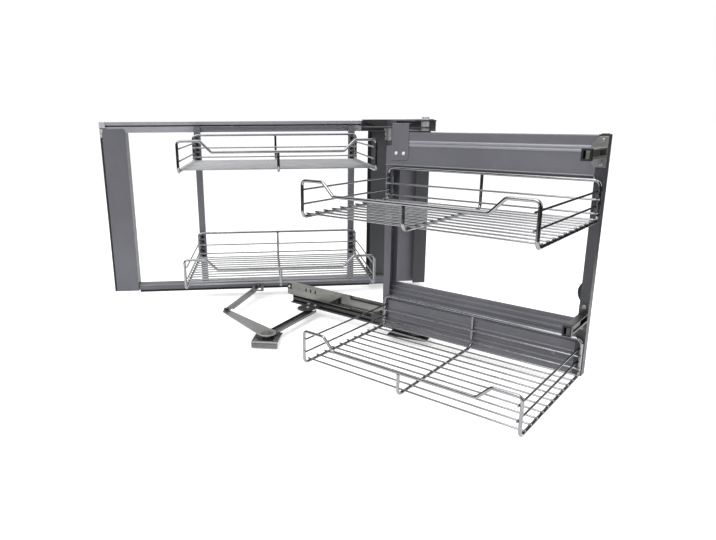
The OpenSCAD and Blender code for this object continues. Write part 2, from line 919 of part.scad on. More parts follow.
module slide_middle() {
    low = slide_z + slide_t + slide_gap;
    h = slide_h - 2 * slide_t - 2 * slide_gap;
    color(zinc)
        in_swing()
            difference() {
                along_x(slide_middle_x, slide_middle_x + slide_middle_l) {
                    translate([middle_web, low])
                        square([slide_t, h]);
                    translate([middle_front, low])
                        square([middle_back - middle_front, slide_t]);
                    translate([middle_front, low + h - slide_t])
                        square([middle_back - middle_front, slide_t]);
                }
                translate([slide_middle_x + slide_hole_x, middle_web + slide_t + over,
                           slide_z + slide_hole_up])
                    rotate([90, 0, 0])
                        cylinder(h = slide_t + 2 * over, d = slide_hole_d);
            }
}

module ball_cages() {
    top = slide_z + slide_h - slide_gap - slide_t;
    color(black)
        in_swing()
            block([slide_middle_x + slide_overlap, middle_front - cage_t, top - cage_h],
                  [slide_middle_x + slide_middle_l - cage_inset, middle_front, top]);
}

module slide_inner() {
    low = slide_z + 2 * slide_t + 2 * slide_gap;
    h = slide_h - 4 * slide_t - 4 * slide_gap;
    color(zinc)
        in_swing()
            along_x(slide_inner_x, slide_inner_x + slide_inner_l) {
                translate([inner_back - slide_t, low])
                    square([slide_t, h]);
                translate([inner_front, low])
                    square([inner_back - inner_front, slide_t]);
                translate([inner_front, low + h - slide_t])
                    square([inner_back - inner_front, slide_t]);
            }
}

module link_bracket() {
    color(dark_paint)
        in_swing()
            translate([tongue_x, 0, tongue_z])
                linear_extrude(tongue_t) {
                    translate([-tongue_w / 2, -tongue_reach + tongue_w / 2])
                        square([tongue_w, tongue_reach - tongue_w / 2 + riser_front]);
                    translate([0, -tongue_reach + tongue_w / 2])
                        circle(d = tongue_w);
                }
}

module slide_end_cap() {
    top = slide_z + slide_h - slide_t;
    color(black)
        in_swing()
            block([slide_outer_x, outer_front, top - slide_cap_h],
                  [slide_outer_x + slide_cap_l, outer_front + outer_d, top]);
}

rivet_places = [[-0.65, 0.26], [0.33, 0.26], [0.12, 0.62]];

module link_rivets() {
    color(chrome)
        in_swing() {
            for (p = rivet_places)
                translate([tongue_x + p[0] * tongue_w / 2, -p[1] * tongue_reach, tongue_z + tongue_t])
                    cylinder(h = rivet_h, d = rivet_d);
            translate([slide_outer_x + slide_cap_l / 2, outer_front,
                       slide_z + slide_h - slide_t - slide_cap_h / 2])
                rotate([90, 0, 0])
                    cylinder(h = rivet_h, d = rivet_d);
        }
}

module top_arm() {
    color(dark_paint)
        in_swing()
            translate([0, 0, arm_z])
                difference() {
                    linear_extrude(pivot_plate_t) {
                        circle(d = beam_d - 4);
                        translate([-top_arm_l, -beam_d / 2 + 2])
                            square([top_arm_l, beam_d - 4]);
                        translate([-top_arm_l, 0])
                            circle(d = beam_d - 4);
                    }
                    translate([0, 0, -over])
                        cylinder(h = pivot_plate_t + 2 * over, d = pivot_pin_d + 2 * pin_clear);
                }
}

module roller_axle() {
    color(zinc)
        in_swing()
            translate([-guide_roller_s, 0, 0]) {
                translate([0, 0, roller_z - run_gap - 2])
                    cylinder(h = 2, d = axle_d + 6);
                translate([0, 0, roller_z - run_gap - 2])
                    cylinder(h = arm_z - roller_z + run_gap + 2, d = axle_d);
            }
}

module guide_roller() {
    color(nylon)
        in_swing()
            translate([-guide_roller_s, 0, roller_z])
                difference() {
                    cylinder(h = guide_roller_h, d = guide_roller_d);
                    translate([0, 0, -over])
                        cylinder(h = guide_roller_h + 2 * over, d = axle_d + 2 * pin_clear);
                    for (z = roller_ring_z)
                        translate([0, 0, z])
                            rotate_extrude()
                                translate([guide_roller_d / 2 - roller_ring_d, 0])
                                    square([roller_ring_d + over, roller_ring_h]);
                }
}

// Front frame
module bead(z) {
    translate([beam_front - bead_d + bead_h / 2, z + bead_h / 2])
        circle(d = bead_h);
}

module top_beam() {
    color(paint)
        in_swing()
            difference() {
                union() {
                    along_x(front_left, front_right - right_post_w) {
                        translate([beam_front, top_beam_z])
                            square([sheet_t, top_beam_h]);
                        translate([beam_back - sheet_t, top_beam_z])
                            square([sheet_t, top_beam_h]);
                        translate([beam_front, trough_z])
                            square([beam_d, sheet_t]);
                        translate([beam_front - lip_d, top_beam_z])
                            square([lip_d + beam_d, lip_h / 2]);
                    }
                    along_x(hook_x + hook_w + run_gap, front_right - right_post_w)
                        for (z = top_bead_z)
                            bead(z);
                }
                block([front_left - over, beam_front - over, trough_z + sheet_t],
                      [hook_x, beam_front + sheet_t + over / 2, top_beam_top + over]);
            }
}

step_count = 4;
bottom_bead_z = [20, 45];

module bottom_beam() {
    top = bottom_beam_z + bottom_beam_h;
    rise = (bottom_beam_h - bottom_face_h) / step_count;
    tread = (beam_d - sheet_t) / step_count;
    color(paint)
        in_swing()
            along_x(front_left, front_right - right_post_w) {
                translate([beam_front, bottom_beam_z])
                    square([sheet_t, bottom_face_h]);
                translate([beam_back - sheet_t, bottom_beam_z])
                    square([sheet_t, bottom_beam_h]);
                for (i = [0 : step_count - 1]) {
                    z = bottom_beam_z + bottom_face_h + i * rise;
                    y = beam_front + i * tread;
                    translate([y, z - sheet_t])
                        square([tread + sheet_t, sheet_t]);
                    translate([y + tread, z - sheet_t])
                        square([sheet_t, rise + (i == step_count - 1 ? sheet_t : 0)]);
                }
                for (z = bottom_bead_z)
                    bead(bottom_beam_z + z);
            }
}

module left_post() {
    color(paint)
        in_swing()
            translate([0, 0, bottom_beam_z + bottom_beam_h])
                linear_extrude(top_beam_z - bottom_beam_z - bottom_beam_h) {
                    translate([front_left, beam_front])
                        square([sheet_t, beam_d]);
                    translate([front_left, beam_front])
                        square([left_post_w, sheet_t]);
                    translate([front_left, beam_back - sheet_t])
                        square([left_post_w, sheet_t]);
                }
}

module right_post() {
    top = top_beam_top;
    color(paint)
        in_swing()
            translate([0, 0, bottom_beam_z])
                linear_extrude(top - bottom_beam_z) {
                    translate([front_right - sheet_t, beam_front])
                        square([sheet_t, right_post_d]);
                    translate([front_right - right_post_w, beam_front])
                        square([right_post_w, sheet_t]);
                    translate([front_right - right_post_w, beam_front + right_post_d - sheet_t])
                        square([right_post_w, sheet_t]);
                }
}

module hook_tab() {
    right = hook_x + hook_w;
    color(paint)
        in_swing() {
            block([hook_x, beam_front - sheet_t, hook_low + hook_corner_r],
                  [right, beam_front, hook_top]);
            block([hook_x, beam_front - sheet_t, hook_low],
                  [right - hook_corner_r, beam_front, hook_low + hook_corner_r + over]);
            translate([right - hook_corner_r, beam_front, hook_low + hook_corner_r])
                rotate([90, 0, 0])
                    cylinder(h = sheet_t, r = hook_corner_r);
            block([hook_x, beam_front - sheet_t, hook_top - sheet_t],
                  [right, beam_front + hook_lip, hook_top]);
        }
}

clip_w = 11;
clip_h = 14;
clip_up = [14, 42];

module basket_clips() {
    back = front_basket_y + hoop_wire_d / 2;
    ends = [front_basket_x, front_basket_x + front_basket_l - clip_w + hoop_wire_d / 2];
    color(paint)
        in_swing()
            for (x = ends)
                for (z = clip_up)
                    block([x, back, front_upper_z + z],
                          [x + clip_w, beam_front, front_upper_z + z + clip_h]);
}

module screw_head() {
    rotate([90, 0, 0])
        cylinder(h = screw_head_t, d = screw_head_d);
}

module frame_screws() {
    plate_screw_z = door_plate_h / 2 - door_screw_inset;
    color(chrome)
        in_swing() {
            for (x = [hook_x + hook_screw_inset, hook_x + hook_w - hook_screw_inset])
                translate([x, beam_front - sheet_t, hook_low + hook_screw_up])
                    screw_head();
            for (x = [front_left + face_screw_left, front_right - right_post_w - face_screw_right])
                translate([x, beam_front, bottom_beam_z + face_screw_up])
                    screw_head();
            at_door_slides()
                for (z = [-plate_screw_z, plate_screw_z])
                    translate([front_right - right_post_w / 2, beam_front - sheet_t, z])
                        screw_head();
        }
}

module post_bumper() {
    left = front_right - right_post_w;
    color(black)
        in_swing()
            intersection() {
                translate([left - bumper_out + bumper_r, beam_front + sheet_t, bumper_z])
                    rotate([-90, 0, 0])
                        cylinder(h = bumper_t, r = bumper_r);
                block([left - bumper_r, beam_front, bumper_z - bumper_r],
                      [front_right - sheet_t, beam_back, bumper_z + bumper_r]);
            }
}

// Door slides
module at_door_slides() {
    for (z = [door_upper_z, door_lower_z])
        translate([0, 0, z])
            children();
}

module door_slide_rails() {
    half = door_slide_h / 2;
    color(zinc)
        in_swing()
            at_door_slides() {
                difference() {
                    block([door_left, door_y + door_cap_l, -half],
                          [front_right, beam_front - sheet_t, half]);
                    block([door_left + sheet_t, door_y, -half + sheet_t],
                          [front_right - sheet_t, beam_front - 2 * sheet_t, half - sheet_t]);
                    block([door_left - over, door_y, -half + sheet_t + door_lip_h],
                          [door_left + sheet_t + over, beam_front - 2 * sheet_t,
                           half - sheet_t - door_lip_h]);
                }
                block([front_right - right_post_w, beam_front - sheet_t, -door_plate_h / 2],
                      [front_right, beam_front, door_plate_h / 2]);
            }
}

module door_slide_caps() {
    half = door_slide_h / 2;
    color(black)
        in_swing()
            at_door_slides()
                difference() {
                    block([door_left - door_cap_lip, door_y, -half - door_cap_lip],
                          [front_right, door_y + door_cap_l, half + door_cap_lip]);
                    block([door_left + sheet_t, door_y - over, -half + sheet_t],
                          [front_right - sheet_t, door_y + door_cap_l + over, half - sheet_t]);
                }
}

module door_runner(z) {
    half = door_slide_h / 2 - sheet_t - run_gap;
    color(zinc)
        in_swing()
            translate([0, 0, z])
                block([door_left + sheet_t + run_gap + runner_inset, door_y, -half],
                      [front_right - sheet_t - run_gap, beam_front - runner_back, half]);
}

module door_runner_upper() { door_runner(door_upper_z); }
module door_runner_lower() { door_runner(door_lower_z); }

// Floor linkage
module crank_arm() {
    color(zinc)
        translate([crank_x, crank_y, arm1_z])
            rotate(crank_arm_angle)
                difference() {
                    linear_extrude(arm1_t) {
                        circle(d = crank_hub_w);
                        polygon([[0, -crank_hub_w / 2], [crank_arm_l, -crank_tip_w / 2],
                                 [crank_arm_l, crank_tip_w / 2], [0, crank_hub_w / 2]]);
                        translate([crank_arm_l, 0])
                            circle(d = crank_tip_w);
                    }
                    for (x = [0, crank_arm_l])
                        translate([x, 0, -over])
                            cylinder(h = arm1_t + 2 * over, d = link_pin_d + 2 * pin_clear);
                }
}

module channel_arm() {
    w = channel_arm_w;
    color(zinc)
        translate([crank_x, crank_y, channel_z])
            rotate(channel_angle)
                difference() {
                    union() {
                        linear_extrude(sheet_t) {
                            circle(d = w);
                            translate([0, -w / 2])
                                square([channel_arm_l, w]);
                        }
                        for (y = [-w / 2, w / 2 - sheet_t])
                            block([w, y, 0], [channel_arm_l, y + sheet_t, channel_h]);
                        cylinder(h = channel_h + run_gap, d = w - 2);
                    }
                    translate([0, 0, -over])
                        cylinder(h = channel_h + 3 * over, d = link_pin_d + 2 * pin_clear);
                }
}

link_fold_h = 5;
link_fold_start = 26;
link_fold_stop = 40;

module link_bar() {
    color(zinc)
        translate([elbow_x, elbow_y, link_z])
            rotate(link_angle) {
                linear_extrude(link_t) {
                    circle(d = link_w);
                    translate([0, -link_w / 2])
                        square([link_l, link_w]);
                    translate([link_l, 0])
                        circle(d = link_w);
                }
                for (y = [-link_w / 2, link_w / 2 - sheet_t])
                    block([link_fold_start, y, -link_fold_h],
                          [link_l - link_fold_stop, y + sheet_t, over]);
            }
}

bush_d = 14;
bush_h = 4;

module elbow_bush() {
    color(black)
        translate([elbow_x, elbow_y, link_z + link_t])
            cylinder(h = bush_h, d = bush_d);
}

module link_pins() {
    color(zinc)
        translate([elbow_x, elbow_y, 0])
            rotate(link_angle) {
                translate([0, 0, arm1_z - run_gap - link_head_h])
                    cylinder(h = link_head_h, d = link_pin_d + 2 * link_head_rim);
                translate([0, 0, arm1_z - run_gap - link_head_h])
                    cylinder(h = link_z - arm1_z + run_gap + link_head_h, d = link_pin_d);
                translate([link_l, 0, link_z + link_t])
                    cylinder(h = slot_plate_z + slot_plate_t - link_z - link_t + link_head_rim, d = link_pin_d);
            }
}

left_upright();
right_column();
column_panel();
top_rail();
rail_end_cap();
rail_screws();
bottom_rail();
bottom_glide();
top_bracket();
top_pivot_bolt();
floor_base();
floor_pivot_pin();
crank_plate();
crank_pin();
hangers();
hanger_glides();
top_bar();
cross_bar();
guide_shoes();
rear_upper_hoops();
rear_upper_rims();
rear_upper_wires();
rear_lower_hoops();
rear_lower_rims();
rear_lower_wires();
swing_plate();
slide_outer();
slide_end_cap();
link_bracket();
link_rivets();
slide_middle();
ball_cages();
slide_inner();
top_beam();
bottom_beam();
left_post();
right_post();
hook_tab();
basket_clips();
frame_screws();
door_slide_rails();
door_slide_caps();
post_bumper();
front_upper_hoops();
front_upper_rims();
front_upper_wires();
front_lower_hoops();
front_lower_rims();
front_lower_wires();
top_arm();
roller_axle();
guide_roller();
door_runner_upper();
door_runner_lower();
crank_arm();
channel_arm();
link_bar();
link_pins();
elbow_bush();
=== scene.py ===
"""Looks, light and camera for the blind corner pull out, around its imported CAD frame."""

import json
import math

import bmesh
import bpy
from mathutils import Matrix, Vector


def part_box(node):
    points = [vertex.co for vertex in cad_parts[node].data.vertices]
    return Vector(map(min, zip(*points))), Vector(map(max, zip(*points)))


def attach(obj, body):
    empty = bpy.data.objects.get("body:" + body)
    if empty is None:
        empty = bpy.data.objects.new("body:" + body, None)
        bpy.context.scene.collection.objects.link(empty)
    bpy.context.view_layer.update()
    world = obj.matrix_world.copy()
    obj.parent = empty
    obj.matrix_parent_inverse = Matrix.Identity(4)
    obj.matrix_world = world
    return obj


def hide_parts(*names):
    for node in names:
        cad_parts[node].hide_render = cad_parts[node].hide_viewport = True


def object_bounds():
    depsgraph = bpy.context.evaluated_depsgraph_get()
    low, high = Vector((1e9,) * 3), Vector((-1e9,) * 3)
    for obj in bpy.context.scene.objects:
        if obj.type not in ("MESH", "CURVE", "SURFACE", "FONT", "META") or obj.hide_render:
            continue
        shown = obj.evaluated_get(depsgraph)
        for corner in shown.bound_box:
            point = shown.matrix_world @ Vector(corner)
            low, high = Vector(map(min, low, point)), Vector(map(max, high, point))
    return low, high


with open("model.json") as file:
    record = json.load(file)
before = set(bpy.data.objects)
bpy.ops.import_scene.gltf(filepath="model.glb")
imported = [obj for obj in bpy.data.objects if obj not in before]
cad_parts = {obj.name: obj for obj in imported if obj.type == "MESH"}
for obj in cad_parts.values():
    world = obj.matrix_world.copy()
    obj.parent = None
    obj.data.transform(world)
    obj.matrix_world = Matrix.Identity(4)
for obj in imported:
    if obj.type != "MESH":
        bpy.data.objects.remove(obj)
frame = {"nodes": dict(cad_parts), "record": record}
cad_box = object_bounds()

# The photograph's frame, in pixels, and the camera fitted to it
PHOTO_W = 716
FOCAL_PX = 577.6
CENTRE_PX = 320.0
SENSOR_MM = 36.0
CAMERA_AT = (-0.02047, -1.76197, 0.51891)
CAMERA_YAW = 0.0930
CAMERA_PITCH = 0.2584
CAMERA_ROLL = -0.0055
CAMERA_REACH = 100.0

# The pale floor
FLOOR_DROP = 0.003
FLOOR_REACH = 30.0
FLOOR_GREY = 0.86
FLOOR_ROUGH = 0.9
FLOOR_LIFT = 0.5

# The dark room that metal mirrors, and the opening in its ground where the pale floor shows
ROOM_HALF_WIDTH = 4.5
ROOM_FRONT, ROOM_BACK = -4.5, 4.0
ROOM_HEIGHT = 4.2
ROOM_GREY = 0.03
OPEN_LEFT, OPEN_FRONT, OPEN_RIGHT = -1.4, -1.9, 1.5

# Brightness of the world as a light, by height above the horizon
STUDIO_LEVELS = ((0.0, 0.10), (0.35, 0.30), (1.0, 0.95))

# Lamps, in metres and watts
LAMPS = {
    "key": {"at": (-1.6, -2.6, 2.4), "aim": (0.1, -0.4, 0.2), "size": 2.2, "power": 78.0},
    "fill": {"at": (2.2, -2.2, 1.4), "aim": (0.2, -0.5, 0.25), "size": 1.8, "power": 22.0},
    "top": {"at": (0.2, -0.5, 2.6), "aim": (0.2, -0.4, 0.0), "size": 2.4, "power": 35.0},
}


# Node trees

BEVEL_SAMPLES = 8
PAINT_SPECULAR = 0.3
PLASTIC_SPECULAR = 0.25
# Specular of the dull black that paints shade
SHADE_SPECULAR = 0.02

# Radii of the edges that catch light and carry a painted highlight, in metres
SHEET_EDGE = 0.0008
STEEL_EDGE = 0.0006
SCREW_EDGE = 0.0004
BEAM_EDGE = 0.0026
FOLD_EDGE = 0.0024

# Scales of a noise on each axis: level lines, lines along x, standing lines, and no lines
LEVEL = (0.08, 0.08, 1.0)
ALONG_X = (0.06, 1.0, 1.0)
STANDING = (1.0, 1.0, 0.05)
EVEN = (1.0, 1.0, 1.0)

# The part of a noise's values that tones and roughness are spread over
NOISE_LOW, NOISE_HIGH = 0.3, 0.7

# How well the rounded normal agrees with the face's own, off an edge and on it
AGREE_OFF, AGREE_ON = 0.99, 0.80

# Painted highlight along edges: the grain of its patches, and the least share inside them
HIGHLIGHT_GRAIN = 130.0
HIGHLIGHT_LEAST = 0.55

# Places of the colour sockets on a Mix node
MIX_FACTOR, MIX_A, MIX_B, MIX_RESULT = 0, 6, 7, 2


class Tree:
    """A material's node tree with short helpers."""

    def __init__(self, name):
        self.material = bpy.data.materials.new(name)
        self.material.use_nodes = True
        self.tree = self.material.node_tree
        self.tree.nodes.clear()
        self.out = self.add("ShaderNodeOutputMaterial")
        self.shader = self.add("ShaderNodeBsdfPrincipled")
        self.join(self.shader, "BSDF", self.out, "Surface")
        self.place = self.add("ShaderNodeTexCoord")

    def add(self, kind):
        return self.tree.nodes.new(kind)

    def join(self, source, output, target, socket):
        self.tree.links.new(source.outputs[output], target.inputs[socket])

    def put(self, socket, value):
        self.shader.inputs[socket].default_value = value

    def noise(self, scale, detail=3.0, stretch=EVEN):
        mapping = self.add("ShaderNodeMapping")
        mapping.inputs["Scale"].default_value = stretch
        self.join(self.place, "Object", mapping, "Vector")
        noise = self.add("ShaderNodeTexNoise")
        noise.inputs["Scale"].default_value = scale
        noise.inputs["Detail"].default_value = detail
        self.join(mapping, "Vector", noise, "Vector")
        return noise

    def tones(self, noise, colour, dark, light):
        """A colour that the noise varies from a darker to a lighter tone."""
        ramp = self.add("ShaderNodeValToRGB")
        stops = ramp.color_ramp.elements
        stops[0].position = NOISE_LOW
        stops[0].color = (*shade(colour, dark), 1.0)
        stops[1].position = NOISE_HIGH
        stops[1].color = (*shade(colour, light), 1.0)
        self.join(noise, "Fac", ramp, "Fac")
        return ramp

    def span(self, noise, low, high):
        span = self.add("ShaderNodeMapRange")
        span.inputs["From Min"].default_value = NOISE_LOW
        span.inputs["From Max"].default_value = NOISE_HIGH
        span.inputs["To Min"].default_value = low
        span.inputs["To Max"].default_value = high
        self.join(noise, "Fac", span, "Value")
        return span

    def roughen(self, noise, low, high):
        self.join(self.span(noise, low, high), "Result", self.shader, "Roughness")

    def rounding(self, radius):
        bevel = self.add("ShaderNodeBevel")
        bevel.samples = BEVEL_SAMPLES
        bevel.inputs["Radius"].default_value = radius
        return bevel

    def edges(self, radius):
        """One along sharp edges, zero on open faces."""
        face = self.add("ShaderNodeNewGeometry")
        agree = self.add("ShaderNodeVectorMath")
        agree.operation = "DOT_PRODUCT"
        self.join(self.rounding(radius), "Normal", agree, 0)
        self.join(face, "Normal", agree, 1)
        mask = self.add("ShaderNodeMapRange")
        mask.inputs["From Min"].default_value = AGREE_OFF
        mask.inputs["From Max"].default_value = AGREE_ON
        self.join(agree, "Value", mask, "Value")
        return mask

    def paint_edge_highlights(self, tone, highlight, radius, amount):
        """The tone, lightened in patches along the edges towards a brighter colour as a painted
        highlight, as base colour.
        """
        patches = self.span(self.noise(HIGHLIGHT_GRAIN), HIGHLIGHT_LEAST * amount, amount)
        share = self.add("ShaderNodeMath")
        share.operation = "MULTIPLY"
        self.join(self.edges(radius), "Result", share, 0)
        self.join(patches, "Result", share, 1)
        mix = self.add("ShaderNodeMix")
        mix.data_type = "RGBA"
        mix.inputs[MIX_B].default_value = (*highlight, 1.0)
        self.join(share, "Value", mix, MIX_FACTOR)
        self.join(tone, "Color", mix, MIX_A)
        self.join(mix, MIX_RESULT, self.shader, "Base Color")

    def bump(self, noise, strength, height, edge=0.0):
        bump = self.add("ShaderNodeBump")
        bump.inputs["Strength"].default_value = strength
        bump.inputs["Distance"].default_value = height
        self.join(noise, "Fac", bump, "Height")
        if edge:
            self.join(self.rounding(edge), "Normal", bump, "Normal")
        self.join(bump, "Normal", self.shader, "Normal")


def shade(colour, factor):
    return tuple(c * factor for c in colour)


def grey(level):
    return level, level, level, 1.0


def powder_coat(name, colour, rough, metallic, edge=SHEET_EDGE, highlight=1.9):
    """Matte painted sheet steel with a fine orange-peel skin."""
    t = Tree(name)
    tone = t.tones(t.noise(scale=6.0), colour, dark=0.89, light=1.11)
    # Painted highlight: the edges are lightened in patches
    t.paint_edge_highlights(tone, shade(colour, highlight), edge, amount=0.5)
    t.roughen(t.noise(scale=60.0), low=rough - 0.05, high=rough + 0.06)
    t.put("Metallic", metallic)
    t.put("Specular IOR Level", PAINT_SPECULAR)
    t.bump(t.noise(scale=900.0, detail=2.0), strength=0.12, height=0.0003, edge=edge)
    return t.material


def plated_steel(name, colour, rough, edge=STEEL_EDGE, stretch=LEVEL, metallic=0.9, highlight=1.4):
    """Rolled, zinc-plated steel with faint drawing lines."""
    t = Tree(name)
    lines = t.noise(scale=160.0, detail=4.0, stretch=stretch)
    tone = t.tones(lines, colour, dark=0.86, light=1.1)
    # Painted highlight: the edges are lightened in patches
    t.paint_edge_highlights(tone, shade(colour, highlight), edge, amount=0.6)
    t.roughen(t.noise(scale=40.0), low=rough - 0.06, high=rough + 0.08)
    t.put("Metallic", metallic)
    t.bump(lines, strength=0.1, height=0.0002, edge=edge)
    return t.material


def chrome(name, colour, rough):
    """Bright plating with slight waviness and dulled spots."""
    t = Tree(name)
    tone = t.tones(t.noise(scale=22.0), colour, dark=0.9, light=1.06)
    t.join(tone, "Color", t.shader, "Base Color")
    t.roughen(t.noise(scale=90.0), low=rough - 0.04, high=rough + 0.05)
    t.put("Metallic", 1.0)
    t.bump(t.noise(scale=180.0, detail=2.0), strength=0.05, height=0.0002)
    return t.material


def moulded(name, colour, rough, edge=SHEET_EDGE, specular=PLASTIC_SPECULAR):
    """Moulded plastic with a fine grain; also the dull black that paints shade."""
    t = Tree(name)
    tone = t.tones(t.noise(scale=18.0), colour, dark=0.9, light=1.12)
    t.join(tone, "Color", t.shader, "Base Color")
    t.roughen(t.noise(scale=120.0), low=rough - 0.06, high=rough + 0.06)
    t.put("Specular IOR Level", specular)
    t.bump(t.noise(scale=1400.0, detail=2.0), strength=0.1, height=0.0002, edge=edge)
    return t.material


# Finishes by the record's slots: the plating is darker than real chrome, to match the photograph

FINISHES = {
    "paint": powder_coat("silver_grey_coat", (0.122, 0.123, 0.139), rough=0.40, metallic=0.25),
    "dark_paint": powder_coat("dark_grey_coat", (0.055, 0.056, 0.060), rough=0.42, metallic=0.2),
    "zinc": plated_steel("zinc_plate", (0.245, 0.247, 0.226), rough=0.34),
    "chrome": chrome("bright_plate", (0.50, 0.50, 0.51), rough=0.16),
    "chrome_wire": chrome("chromed_wire", (0.27, 0.272, 0.28), rough=0.14),
    "black_plastic": moulded("black_plastic", (0.018, 0.018, 0.02), rough=0.42),
    "nylon": moulded("grey_nylon", (0.46, 0.47, 0.48), rough=0.4),
}

# Finishes that differ from the rest of their slot

# Beam paint whose wide edges carry a brighter painted highlight
beam_coat = powder_coat(
    "beam_coat", (0.150, 0.151, 0.168), rough=0.38, metallic=0.25, edge=BEAM_EDGE, highlight=2.5)
rail_coat = powder_coat("rail_coat", (0.30, 0.30, 0.33), rough=0.36, metallic=0.3)
# Lighter copy of the beam paint: a painted highlight along the beads
bead_highlight_coat = powder_coat(
    "bead_highlight_coat", (0.26, 0.262, 0.285), rough=0.36, metallic=0.25, edge=STEEL_EDGE)
swing_coat = powder_coat("swing_coat", (0.075, 0.076, 0.079), rough=0.42, metallic=0.2)
# Darker copy of the paint: painted shade on the right post, whose face turns from the light
post_shade_coat = powder_coat("post_shade_coat", (0.060, 0.061, 0.067), rough=0.40, metallic=0.25)
# Near-black copy of the paint: painted shade on the top bracket and on the cover beneath it
bracket_shade_coat = powder_coat("bracket_shade_coat", (0.030, 0.030, 0.033), rough=0.42, metallic=0.2)
bright_screw = plated_steel(
    "bright_screw", (0.72, 0.72, 0.74), rough=0.36, edge=SCREW_EDGE, stretch=EVEN, metallic=0.4)
dull_screw = plated_steel(
    "dull_screw", (0.30, 0.30, 0.30), rough=0.36, edge=SCREW_EDGE, stretch=EVEN, metallic=0.6)
dark_bar = plated_steel("dark_bar", (0.150, 0.151, 0.147), rough=0.32)
pale_slide = plated_steel("pale_slide", (0.27, 0.27, 0.265), rough=0.36, metallic=0.7)
dark_slide = plated_steel("dark_slide", (0.075, 0.075, 0.076), rough=0.34)
roller_steel = plated_steel("roller_steel", (0.32, 0.32, 0.33), rough=0.38, stretch=STANDING)
# Crank plate with a strong painted highlight along its fold and edges
dark_plate = plated_steel(
    "dark_plate", (0.14, 0.14, 0.145), rough=0.30, edge=FOLD_EDGE, stretch=ALONG_X, highlight=4.5)
dull_wire = chrome("dull_wire", (0.27, 0.272, 0.28), rough=0.34)
# A dull black for painted shade: the column's side wall and the shadow lines on the riser
shade_black = moulded(
    "shade_black", (0.012, 0.012, 0.013), rough=0.92, edge=SCREW_EDGE, specular=SHADE_SPECULAR)
pale_end = moulded("pale_end", (0.36, 0.36, 0.385), rough=0.4)

SPECIAL = {
    "top_rail": rail_coat,
    "top_beam": beam_coat,
    "bottom_beam": beam_coat,
    "hook_tab": beam_coat,
    "right_post": post_shade_coat,
    "top_bracket": bracket_shade_coat,
    "swing_plate": swing_coat,
    "rail_screws": bright_screw,
    "top_pivot_bolt": bright_screw,
    "link_rivets": bright_screw,
    "guide_roller": roller_steel,
    "crank_plate": dark_plate,
    "crank_arm": pale_slide,
    "link_bar": dark_bar,
    "channel_arm": dark_bar,
    "door_runner_lower": dark_slide,
    "rear_upper_wires": dull_wire,
    "rear_lower_wires": dull_wire,
}


def dress(node, slot):
    mesh = frame["nodes"][node].data
    mesh.materials.clear()
    mesh.materials.append(SPECIAL.get(node, FINISHES[slot]))


for part in frame["record"]["subparts"]:
    dress(part["node"], part["material_slot"])


# Pieces with detail that the solids leave out, in millimetres

MM = 0.001
SWING_TURN = math.radians(45.5)
SWING_AT = sum(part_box("top_pivot_bolt"), Vector()) / 2
BEVEL_SEGMENTS = 2
CORNER_STEPS = 5

# The door slides' rails: a channel with rolled lips on a plate
DOOR_LEFT, DOOR_RIGHT = 374.0, 389.0
DOOR_FRONT, DOOR_BACK = -106.0, -19.0
DOOR_HALF = 9.0
DOOR_SHEET = 1.5
LIP_LOW, LIP_HIGH = 4.5, 2.1
PLATE_T = 2.0
UPPER_PLATE = (
    (389.0, -28.0), (389.0, 28.0), (373.0, 28.0), (361.0, 15.0), (361.0, -19.0), (368.0, -28.0),
)
LOWER_PLATE = (
    (389.0, -28.0), (389.0, 28.0), (374.0, 28.0), (371.0, 25.0), (371.0, -25.0), (374.0, -28.0),
)
UPPER_Z, LOWER_Z = 455.0, 136.0

# Screw heads of the front frame: the middle of each head's base
PLATE_SCREW_X, PLATE_SCREW_OFF = 380.0, 21.0
HOOK_SCREWS = ((-63.0, -19.0, 438.0), (-43.0, -19.0, 438.0))
FACE_SCREWS = (
    (19.0, -17.0, 49.0),
    (331.0, -17.0, 49.0),
    (PLATE_SCREW_X, DOOR_BACK, UPPER_Z - PLATE_SCREW_OFF),
    (PLATE_SCREW_X, DOOR_BACK, UPPER_Z + PLATE_SCREW_OFF),
    (PLATE_SCREW_X, DOOR_BACK, LOWER_Z - PLATE_SCREW_OFF),
    (PLATE_SCREW_X, DOOR_BACK, LOWER_Z + PLATE_SCREW_OFF),
)
HEAD_R = 4.0
HEAD_RIM = 1.0
HEAD_T = 2.5
HEAD_RINGS = 14
HEAD_SIDES = 48
RECESS_HALF = 0.65
RECESS_R = 2.4
RECESS_T = 1.1

# The cap on the right post
POST = (371.0, -17.0, 389.0, 3.0)
POST_TOP = 485.0
CAP_T = 1.6
CAP_CROWN = 1.2
CAP_STEP = 3.0
CAP_CORNER = 1.5

# The rear frame's left edge: the rail's end piece, with each rib's foot, top and right end
FRAME_LEFT = -484.0
FACE_Y = -28.0
RAIL_Y = -26.0
END_T = 1.0
RIB_T = 1.2
RIBS = ((466.0, 477.0, -477.0), (479.0, 490.0, -475.0), (492.5, 508.5, -467.5))
END_CORNER = 1.5

# The strip along the upright's left edge
STRIP_W = 5.5
STRIP_T = 1.4
STRIP_ROUND = 0.7
STRIP_SPAN = (12.0, 465.0)

# The dark cover on the top rail beside the column, a painted shade under the top bracket
COVER_LEFT, COVER_RIGHT = 266.0, 334.0
COVER_SPAN = (479.5, 508.5)
COVER_T = 1.5
COVER_FOLD = 4.0

# The dark strip on the column's left side, a painted shade on that side wall
SIDE_STRIP = (301.2, 1.0, 302.0, 59.0)
SIDE_STRIP_ROUND = 0.3
SIDE_STRIP_SPAN = (31.0, 478.0)

# The plug in the slide's middle member: each step's front, back and radius
PLUG_X, PLUG_Z = -105.0, 38.0
PLUG_STEPS = ((-3.0, -2.4, 2.6), (-2.4, -2.0, 4.6), (-2.0, 0.0, 3.4))
PLUG_SIDES = 32

